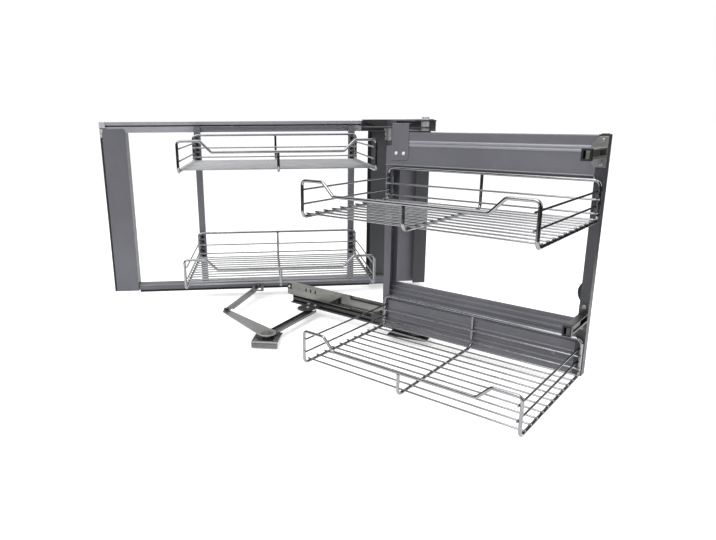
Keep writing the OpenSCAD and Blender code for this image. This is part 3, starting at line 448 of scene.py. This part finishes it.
# The tongue behind the bottom beam's face
TONGUE = (-128.0, 13.0, -80.0, 33.0)
TONGUE_SPAN = (-15.0, -13.5)
TONGUE_CORNER = 4.0

# The left post's foot over the bottom beam's steps
FOOT = (
    (-91.6, -17.4), (-73.0, -17.4), (-73.0, -15.8), (-90.0, -15.8), (-90.0, 17.0), (-91.6, 17.0),
)
FOOT_SPAN = (77.0, 123.0)

# The pale trim over the top beam's two beads, a painted highlight
BEAD_SPAN = (-28.0, 360.5)
BEAD_Y, BEAD_BACK = -16.0, -16.8
BEAD_MIDDLES = (456.5, 463.5)
BEAD_R = 3.5
BEAD_HALF_TURN = math.radians(64.0)
BEAD_STEPS = 10

# The dark strip under the top beam, behind the basket's back rail: a painted shadow under the beam
BEAM_SHADOW = (
    (-18.8, 410.0), (-18.8, 403.0), (-18.3, 402.0), (-17.7, 402.0), (-17.2, 403.0), (-17.2, 410.0),
)
BEAM_SHADOW_SPAN = (-72.0, 370.5)

# The liner inside the slide's outer member
LINER = (-417.0, 29.2, -240.0, 58.8)
LINER_SPAN = (-9.0, -8.2)
LINER_CORNER = 2.0

# The dark strips on the riser, a painted shadow: at its foot on the swing plate, and below the
# slide
RISER_FOOT_SHADOW = ((-9.0, 9.0), (-12.0, 9.0), (-12.0, 10.2), (-10.6, 13.0), (-9.0, 13.0))
RISER_SLIDE_SHADOW = ((-9.0, 20.5), (-9.8, 20.5), (-10.4, 21.2), (-10.4, 25.5), (-9.0, 26.0))
RISER_SHADOW_SPAN = (-404.0, -121.0)


# Places of outlines: two coordinates in the outline, and one that it is drawn out along

def in_frame(x, y, z):
    """For an outline on the rear frame's plan."""
    return x * MM, y * MM, z * MM


def upright(x, z, y):
    """For an outline that stands in the rear frame's face."""
    return in_frame(x, y, z)


def in_swing(x, y, z):
    """For an outline on the swung front frame's plan."""
    c, s = math.cos(SWING_TURN), math.sin(SWING_TURN)
    return SWING_AT.x + (x * c + y * s) * MM, SWING_AT.y + (y * c - x * s) * MM, z * MM


def across(x, z, y):
    """For an outline that stands in the front frame's face."""
    return in_swing(x, y, z)


def along(y, z, x):
    """For a section that runs along the front frame's length."""
    return in_swing(x, y, z)


# Meshes

def circle(u, v, r, sides):
    turns = [math.tau * k / sides for k in range(sides)]
    return [(u + r * math.cos(a), v + r * math.sin(a)) for a in turns]


def rounded(u0, v0, u1, v1, r):
    """The outline of a rectangle with round corners."""
    outline = []
    corners = ((u1 - r, v1 - r), (u0 + r, v1 - r), (u0 + r, v0 + r), (u1 - r, v0 + r))
    for quarter, (u, v) in enumerate(corners):
        for k in range(CORNER_STEPS + 1):
            turn = math.pi / 2 * (quarter + k / CORNER_STEPS)
            outline.append((u + r * math.cos(turn), v + r * math.sin(turn)))
    return outline


def bridge(mesh, ring, other):
    """Adds the faces between two closed rings of vertices."""
    for i in range(len(ring)):
        j = (i + 1) % len(ring)
        mesh.faces.new((ring[i], ring[j], other[j], other[i]))


def prism(mesh, outline, low, high, place):
    """Adds a closed outline, drawn out from low to high, to a mesh."""
    foot, top = [[mesh.verts.new(place(u, v, w)) for u, v in outline] for w in (low, high)]
    bridge(mesh, foot, top)
    mesh.faces.new(foot[::-1])
    mesh.faces.new(top)


def piece(name, mesh, body, finish, edge_r):
    """An object of this mesh, with its edges rounded, that rides on a body."""
    bmesh.ops.recalc_face_normals(mesh, faces=mesh.faces)
    data = bpy.data.meshes.new(name)
    mesh.to_mesh(data)
    mesh.free()
    data.materials.append(finish)
    made = bpy.data.objects.new(name, data)
    bpy.context.collection.objects.link(made)
    bevel = made.modifiers.new("rounded", "BEVEL")
    bevel.width = edge_r * MM
    bevel.segments = BEVEL_SEGMENTS
    bevel.limit_method = "ANGLE"
    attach(made, body)
    return made


def trim(name, outlines, span, place, body, finish, edge_r):
    """A piece of closed outlines, all drawn out over the same span."""
    mesh = bmesh.new()
    for outline in outlines:
        prism(mesh, outline, *span, place)
    piece(name, mesh, body, finish, edge_r)


# Pieces

def door_channel(name, z, plate, finish):
    """One door slide's rail, open to the right, with its plate on the post."""
    t, half, inner = DOOR_SHEET, DOOR_HALF, DOOR_HALF - DOOR_SHEET
    channel = [
        (DOOR_LEFT, -half), (DOOR_RIGHT, -half), (DOOR_RIGHT, LIP_LOW - half),
        (DOOR_RIGHT - t, LIP_LOW - half), (DOOR_RIGHT - t, -inner), (DOOR_LEFT + t, -inner),
        (DOOR_LEFT + t, inner), (DOOR_RIGHT - t, inner), (DOOR_RIGHT - t, half - LIP_HIGH),
        (DOOR_RIGHT, half - LIP_HIGH), (DOOR_RIGHT, half), (DOOR_LEFT, half),
    ]
    mesh = bmesh.new()
    prism(mesh, [(x, z + up) for x, up in channel], DOOR_FRONT, DOOR_BACK, across)
    prism(mesh, [(x, z + up) for x, up in plate], DOOR_BACK, DOOR_BACK + PLATE_T, across)
    made = piece(name, mesh, "front_frame", finish, edge_r=0.4)
    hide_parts("door_slide_rails")


def head_height(u, v):
    """A screw head's crown, lower inside its cross recess."""
    r = math.hypot(u, v)
    crown = HEAD_RIM + (HEAD_T - HEAD_RIM) * (1.0 - (r / HEAD_R) ** 2)
    cross = r < RECESS_R and min(abs(u), abs(v)) < RECESS_HALF
    return crown - RECESS_T if cross else crown


def screw_heads(name, places, finish):
    """Crowned heads with a cross recess."""
    mesh = bmesh.new()
    radii = [HEAD_R * i / HEAD_RINGS for i in range(1, HEAD_RINGS + 1)]
    crown = [[(u, head_height(u, v), v) for u, v in circle(0.0, 0.0, r, HEAD_SIDES)] for r in radii]
    base = [(u, 0.0, v) for u, v in circle(0.0, 0.0, HEAD_R, HEAD_SIDES)]
    for x, y, z in places:
        rings = [[mesh.verts.new(in_swing(x + u, y - h, z + v)) for u, h, v in ring]
                 for ring in crown + [base]]
        for inside, outside in zip(rings, rings[1:]):
            bridge(mesh, inside, outside)
        mesh.faces.new(rings[0])
        mesh.faces.new(rings[-1])
    made = piece(name, mesh, "front_frame", finish, edge_r=0.1)
    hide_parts("frame_screws")


def post_cap(finish):
    """A stepped plug on the right post's open top."""
    left, front, right, back = POST
    crown = (left + CAP_STEP, front + CAP_STEP, right - CAP_STEP, back - CAP_STEP)
    shoulder = POST_TOP + CAP_T
    mesh = bmesh.new()
    prism(mesh, rounded(*POST, CAP_CORNER), POST_TOP, shoulder, in_swing)
    prism(mesh, rounded(*crown, CAP_CORNER), shoulder, shoulder + CAP_CROWN, in_swing)
    piece("post_cap", mesh, "front_frame", finish, edge_r=0.4)


def rail_end_piece(finish):
    """A ribbed end piece on the face of the top rail's left end and of the upright."""
    mesh = bmesh.new()
    seats = (FACE_Y, FACE_Y, RAIL_Y)
    for (low, high, right), seat in zip(RIBS, seats):
        rib = rounded(FRAME_LEFT, low, right, high, END_CORNER)
        prism(mesh, rib, FACE_Y - END_T - RIB_T, seat, upright)
    back = rounded(FRAME_LEFT, RIBS[0][0], RIBS[0][2] - END_CORNER, RIBS[1][1], END_CORNER)
    prism(mesh, back, FACE_Y - END_T, FACE_Y, upright)
    piece("rail_end_piece", mesh, "rear_frame", finish, edge_r=0.4)


def edge_strip(finish):
    """A dark strip along the upright's left edge."""
    left, right, back, front = FRAME_LEFT, FRAME_LEFT + STRIP_W, FACE_Y, FACE_Y - STRIP_T
    outline = [
        (left, back), (right, back), (right, front + STRIP_ROUND), (right - STRIP_ROUND, front),
        (left + STRIP_ROUND, front), (left, front + STRIP_ROUND),
    ]
    trim("edge_strip", [outline], STRIP_SPAN, in_frame,
         "rear_frame", finish, edge_r=0.2)


def rail_shade_cover(finish):
    """A dark cover with a folded left edge on the top rail, beside the column, as painted shade
    under the top bracket.
    """
    front = RAIL_Y - COVER_T
    outline = [
        (COVER_LEFT, RAIL_Y), (COVER_LEFT, front + COVER_T / 2), (COVER_LEFT + COVER_FOLD, front),
        (COVER_RIGHT, front), (COVER_RIGHT, RAIL_Y),
    ]
    trim("rail_shade_cover", [outline], COVER_SPAN, in_frame,
         "rear_frame", finish, edge_r=0.3)


def slide_plug(finish):
    """A stepped plug in the hole of the slide's middle member."""
    mesh = bmesh.new()
    for front, back, r in PLUG_STEPS:
        prism(mesh, circle(PLUG_X, PLUG_Z, r, PLUG_SIDES), front, back, across)
    piece("slide_plug", mesh, "slide_mid", finish, edge_r=0.15)


def bead_highlight_trim(finish):
    """A pale trim of two half rounds over the beads of the top beam, as a painted highlight."""
    turns = [BEAD_HALF_TURN * (2 * k / BEAD_STEPS - 1) for k in range(BEAD_STEPS + 1)]
    half_round = [(BEAD_Y - BEAD_R * math.cos(a), BEAD_R * math.sin(a)) for a in turns]
    outline = [(y, z + up) for z in BEAD_MIDDLES for y, up in half_round]
    outline += [(BEAD_BACK, outline[-1][1]), (BEAD_BACK, outline[0][1])]
    trim("bead_highlight_trim", [outline], BEAD_SPAN, along, "front_frame", finish, edge_r=0.1)


black = FINISHES["black_plastic"]
dark = FINISHES["dark_paint"]

door_channel("door_channel_upper", UPPER_Z, UPPER_PLATE, pale_slide)
door_channel("door_channel_lower", LOWER_Z, LOWER_PLATE, dark_slide)
screw_heads("hook_screw_heads", HOOK_SCREWS, bright_screw)
screw_heads("face_screw_heads", FACE_SCREWS, dull_screw)
post_cap(black)
rail_end_piece(pale_end)
edge_strip(black)
# Painted shade under the top bracket
rail_shade_cover(bracket_shade_coat)
# Painted shade on the column's left side wall
trim("side_strip", [rounded(*SIDE_STRIP, SIDE_STRIP_ROUND)], SIDE_STRIP_SPAN, in_frame,
     "rear_frame", shade_black, edge_r=0.1)
slide_plug(black)
trim("beam_tongue", [rounded(*TONGUE, TONGUE_CORNER)], TONGUE_SPAN, across,
     "front_frame", dark, edge_r=0.3)
trim("post_foot", [FOOT], FOOT_SPAN, in_swing,
     "front_frame", FINISHES["paint"], edge_r=0.3)
bead_highlight_trim(bead_highlight_coat)
# A painted shadow line under the top beam
trim("beam_shadow_strip", [BEAM_SHADOW], BEAM_SHADOW_SPAN, along,
     "front_frame", dark, edge_r=0.1)
trim("slide_liner", [rounded(*LINER, LINER_CORNER)], LINER_SPAN, across,
     "swivel", black, edge_r=0.2)
# Painted shadow lines at the riser's foot and under the slide
trim("riser_shadow_strips", [RISER_FOOT_SHADOW, RISER_SLIDE_SHADOW], RISER_SHADOW_SPAN, along,
     "swivel", shade_black, edge_r=0.3)


# Floor, light and background

def seen_rays(tree):
    """One for rays from the camera and for rays that metal mirrors or glass lets through."""
    path = tree.nodes.new("ShaderNodeLightPath")
    total = path.outputs["Is Camera Ray"]
    for kind in ("Is Glossy Ray", "Is Transmission Ray"):
        either = tree.nodes.new("ShaderNodeMath")
        either.operation = "MAXIMUM"
        tree.links.new(total, either.inputs[0])
        tree.links.new(path.outputs[kind], either.inputs[1])
        total = either.outputs["Value"]
    return total


def stage_mesh(name, corners, faces, material):
    mesh = bpy.data.meshes.new(name)
    mesh.from_pydata(corners, [], faces)
    mesh.materials.append(material)
    made = bpy.data.objects.new(name, mesh)
    bpy.context.collection.objects.link(made)
    return made


def pale_floor():
    """A white floor that is lifted to white where it is seen, and keeps the shadows."""
    t = Tree("floor_white")
    t.put("Base Color", grey(FLOOR_GREY))
    t.put("Roughness", FLOOR_ROUGH)
    t.put("Emission Color", grey(1.0))
    lift = t.add("ShaderNodeMath")
    lift.operation = "MULTIPLY"
    lift.inputs[1].default_value = FLOOR_LIFT
    t.tree.links.new(seen_rays(t.tree), lift.inputs[0])
    t.join(lift, "Value", t.shader, "Emission Strength")
    r, low = FLOOR_REACH, cad_box[0][2] - FLOOR_DROP
    corners = [(-r, -r, low), (r, -r, low), (r, r, low), (-r, r, low)]
    stage_mesh("floor", corners, [(0, 1, 2, 3)], t.material)


def dark_room():
    """Dark walls and ground that mirrored rays see, so that bright wires stand out from white.

    They hide the white background from metal towards the front and the sides. The camera,
    shadows and diffuse light don't see them.
    """
    t = Tree("room_black")
    t.put("Base Color", grey(ROOM_GREY))
    t.put("Roughness", 1.0)
    w, low = ROOM_HALF_WIDTH, cad_box[0][2] - FLOOR_DROP / 2
    plan = [(-w, ROOM_BACK), (-w, ROOM_FRONT), (w, ROOM_FRONT), (w, ROOM_BACK)]
    opening = [
        (OPEN_LEFT, ROOM_BACK), (OPEN_LEFT, OPEN_FRONT),
        (OPEN_RIGHT, OPEN_FRONT), (OPEN_RIGHT, ROOM_BACK),
    ]
    corners = [(x, y, low) for x, y in plan + opening] + [(x, y, ROOM_HEIGHT) for x, y in plan]
    sides = range(len(plan) - 1)
    edge, top = len(plan), len(plan) + len(opening)
    walls = [(i, i + 1, i + top + 1, i + top) for i in sides]
    ground = [(i, i + 1, i + edge + 1, i + edge) for i in sides]
    room = stage_mesh("dark_room", corners, walls + ground, t.material)
    room.visible_camera = False
    room.visible_diffuse = False
    room.visible_shadow = False


def area_light(name, at, aim, size, power):
    data = bpy.data.lights.new(name, "AREA")
    data.shape = "SQUARE"
    data.size = size
    data.energy = power
    lamp = bpy.data.objects.new(name, data)
    lamp.location = at
    lamp.rotation_euler = (Vector(aim) - Vector(at)).to_track_quat("-Z", "Y").to_euler()
    bpy.context.collection.objects.link(lamp)


def white_world():
    """White for rays from the camera, mirrors and glass, and dimmer light towards the horizon."""
    world = bpy.data.worlds.new("studio")
    bpy.context.scene.world = world
    world.use_nodes = True
    nodes, links = world.node_tree.nodes, world.node_tree.links
    nodes.clear()
    place = nodes.new("ShaderNodeTexCoord")
    split = nodes.new("ShaderNodeSeparateXYZ")
    ramp = nodes.new("ShaderNodeValToRGB")
    stops = ramp.color_ramp.elements
    for height, _ in STUDIO_LEVELS[1:-1]:
        stops.new(height)
    for stop, (height, level) in zip(stops, STUDIO_LEVELS):
        stop.position = height
        stop.color = grey(level)
    soft = nodes.new("ShaderNodeBackground")
    white = nodes.new("ShaderNodeBackground")
    white.inputs["Color"].default_value = grey(1.0)
    mix = nodes.new("ShaderNodeMixShader")
    out = nodes.new("ShaderNodeOutputWorld")
    for background in (soft, white):
        background.inputs["Strength"].default_value = 1.0
    links.new(place.outputs["Generated"], split.inputs["Vector"])
    links.new(split.outputs["Z"], ramp.inputs["Fac"])
    links.new(ramp.outputs["Color"], soft.inputs["Color"])
    links.new(seen_rays(world.node_tree), mix.inputs["Fac"])
    links.new(soft.outputs["Background"], mix.inputs[1])
    links.new(white.outputs["Background"], mix.inputs[2])
    links.new(mix.outputs["Shader"], out.inputs["Surface"])


def photo_camera():
    data = bpy.data.cameras.new("camera")
    data.sensor_fit = "HORIZONTAL"
    data.sensor_width = SENSOR_MM
    data.lens = FOCAL_PX / PHOTO_W * SENSOR_MM
    data.shift_x = (PHOTO_W / 2 - CENTRE_PX) / PHOTO_W
    data.clip_end = CAMERA_REACH
    yaw, pitch, roll = CAMERA_YAW, CAMERA_PITCH, CAMERA_ROLL
    heading = Vector((math.sin(yaw), math.cos(yaw), 0.0))
    ahead = heading * math.cos(pitch) - Vector((0.0, 0.0, math.sin(pitch)))
    level = Vector((math.cos(yaw), -math.sin(yaw), 0.0))
    above = level.cross(ahead)
    right = math.cos(roll) * level + math.sin(roll) * above
    up = math.cos(roll) * above - math.sin(roll) * level
    turn = Matrix((right, up, -ahead)).transposed().to_4x4()
    camera = bpy.data.objects.new("camera", data)
    camera.matrix_world = Matrix.Translation(CAMERA_AT) @ turn
    bpy.context.collection.objects.link(camera)
    bpy.context.scene.camera = camera


pale_floor()
dark_room()
white_world()
for lamp_name, lamp in LAMPS.items():
    area_light(lamp_name, **lamp)
photo_camera()
bpy.context.scene.view_settings.view_transform = "Standard"
